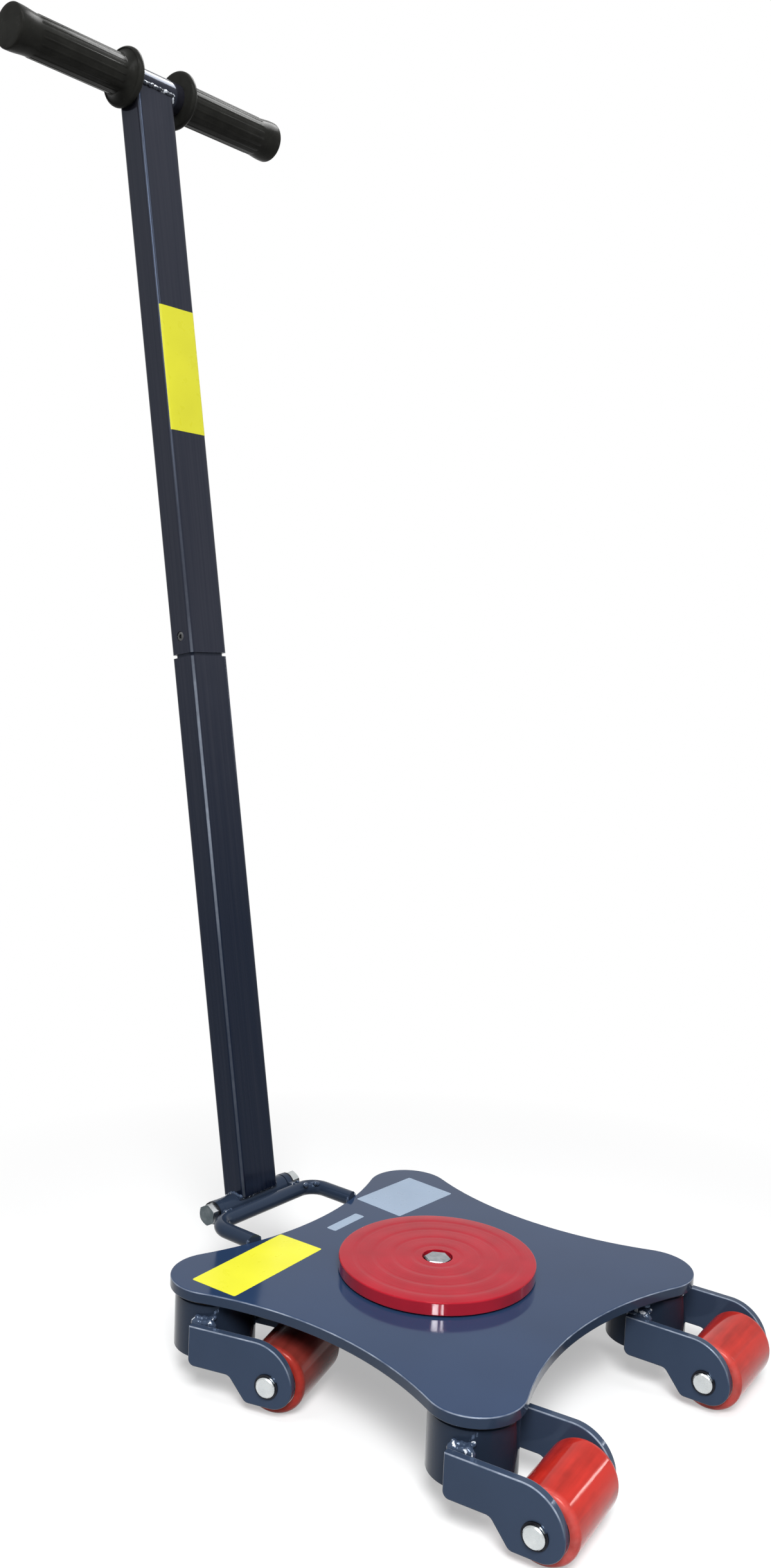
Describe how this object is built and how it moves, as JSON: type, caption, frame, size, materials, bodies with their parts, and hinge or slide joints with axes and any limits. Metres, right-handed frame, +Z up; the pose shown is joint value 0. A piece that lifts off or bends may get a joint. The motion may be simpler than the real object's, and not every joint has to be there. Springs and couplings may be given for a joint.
{
  "type": "rotating machine dolly",
  "caption": "Low square machine dolly with a round turntable, swivelling roller forks under its lobes and a hinged two-piece T handle for pulling and steering heavy loads.",
  "frame": {"origin": "centre of the turntable's load face", "axes": "+Z up, out of the load face; +Y towards the handle; +X along the handle's hinge bolt, from its head to its nut"},
  "size_m": [0.4029, 0.7276, 1.2621],
  "materials": {
    "slate_paint": "glossy dark slate-blue enamel on steel",
    "red_paint": "semi-gloss red enamel on turned steel",
    "red_tread": "cast polyurethane, glossy red",
    "grip_rubber": "moulded black grip, satin",
    "zinc": "bright zinc plating",
    "steel": "turned bare steel",
    "bronze": "sintered bearing bronze",
    "black_steel": "black oxide spring steel"
  },
  "bodies": {
    "deck": {"deck_plate": "slate_paint", "kingpins": "steel", "kingpin_nuts": "zinc", "drawbar": "slate_paint", "hinge_eyes": "slate_paint", "pivot_bolt": "zinc", "pivot_nut": "zinc", "pivot_washers": "black_steel", "lower_race": "steel", "thrust_cage": "bronze", "thrust_rollers": "steel", "centre_bush": "bronze", "centre_bolt": "zinc", "centre_nut": "zinc"},
    "turntable": {"turntable_disc": "red_paint", "upper_race": "steel"},
    "handle": {"pivot_sleeve": "slate_paint", "lower_tube": "slate_paint", "joint_insert": "slate_paint", "upper_tube": "slate_paint", "joint_screw": "zinc", "cross_bar": "slate_paint", "grip_left": "grip_rubber", "grip_right": "grip_rubber"},
    "caster_front_left": {"swivel_housing_front_left": "slate_paint", "swivel_bush_front_left": "bronze", "fork_plates_front_left": "slate_paint", "axle_front_left": "zinc", "circlips_front_left": "black_steel", "side_washers_front_left": "zinc"},
    "roller_front_left": {"roller_tread_front_left": "red_tread", "roller_core_front_left": "steel", "roller_bearings_front_left": "steel"},
    "caster_front_right": {"swivel_housing_front_right": "slate_paint", "swivel_bush_front_right": "bronze", "fork_plates_front_right": "slate_paint", "axle_front_right": "zinc", "circlips_front_right": "black_steel", "side_washers_front_right": "zinc"},
    "roller_front_right": {"roller_tread_front_right": "red_tread", "roller_core_front_right": "steel", "roller_bearings_front_right": "steel"},
    "caster_rear_left": {"swivel_housing_rear_left": "slate_paint", "swivel_bush_rear_left": "bronze", "fork_plates_rear_left": "slate_paint", "axle_rear_left": "zinc", "circlips_rear_left": "black_steel", "side_washers_rear_left": "zinc"},
    "roller_rear_left": {"roller_tread_rear_left": "red_tread", "roller_core_rear_left": "steel", "roller_bearings_rear_left": "steel"},
    "caster_rear_right": {"swivel_housing_rear_right": "slate_paint", "swivel_bush_rear_right": "bronze", "fork_plates_rear_right": "slate_paint", "axle_rear_right": "zinc", "circlips_rear_right": "black_steel", "side_washers_rear_right": "zinc"},
    "roller_rear_right": {"roller_tread_rear_right": "red_tread", "roller_core_rear_right": "steel", "roller_bearings_rear_right": "steel"}
  },
  "joints": [
    {"name": "turntable_spin", "type": "hinge", "parent": "deck", "child": "turntable", "pos_m": [0, 0, 0], "axis": [0, 0, 1], "continuous": true},
    {"name": "handle_tilt", "type": "hinge", "parent": "deck", "child": "handle", "pos_m": [0, 0.2387, -0.0136], "axis": [-1, 0, 0], "range_deg": [-12, 80]},
    {"name": "swivel_front_left", "type": "hinge", "parent": "deck", "child": "caster_front_left", "pos_m": [-0.1425, 0.1425, -0.0234], "axis": [0, 0, 1], "continuous": true},
    {"name": "roll_front_left", "type": "hinge", "parent": "caster_front_left", "child": "roller_front_left", "pos_m": [-0.11991, 0.06816, -0.0773], "axis": [0.9568, 0.2907, 0], "continuous": true},
    {"name": "swivel_front_right", "type": "hinge", "parent": "deck", "child": "caster_front_right", "pos_m": [0.1425, 0.1425, -0.0234], "axis": [0, 0, 1], "continuous": true},
    {"name": "roll_front_right", "type": "hinge", "parent": "caster_front_right", "child": "roller_front_right", "pos_m": [0.15599, 0.06598, -0.0773], "axis": [0.9848, 0.1736, 0], "continuous": true},
    {"name": "swivel_rear_left", "type": "hinge", "parent": "deck", "child": "caster_rear_left", "pos_m": [-0.1425, -0.1425, -0.0234], "axis": [0, 0, 1], "continuous": true},
    {"name": "roll_rear_left", "type": "hinge", "parent": "caster_rear_left", "child": "roller_rear_left", "pos_m": [-0.13216, -0.21951, -0.0773], "axis": [0.9911, 0.1331, 0], "continuous": true},
    {"name": "swivel_rear_right", "type": "hinge", "parent": "deck", "child": "caster_rear_right", "pos_m": [0.1425, -0.1425, -0.0234], "axis": [0, 0, 1], "continuous": true},
    {"name": "roll_rear_right", "type": "hinge", "parent": "caster_rear_right", "child": "roller_rear_right", "pos_m": [0.14846, -0.21997, -0.0773], "axis": [0.9971, 0.0767, 0], "continuous": true}
  ]
}
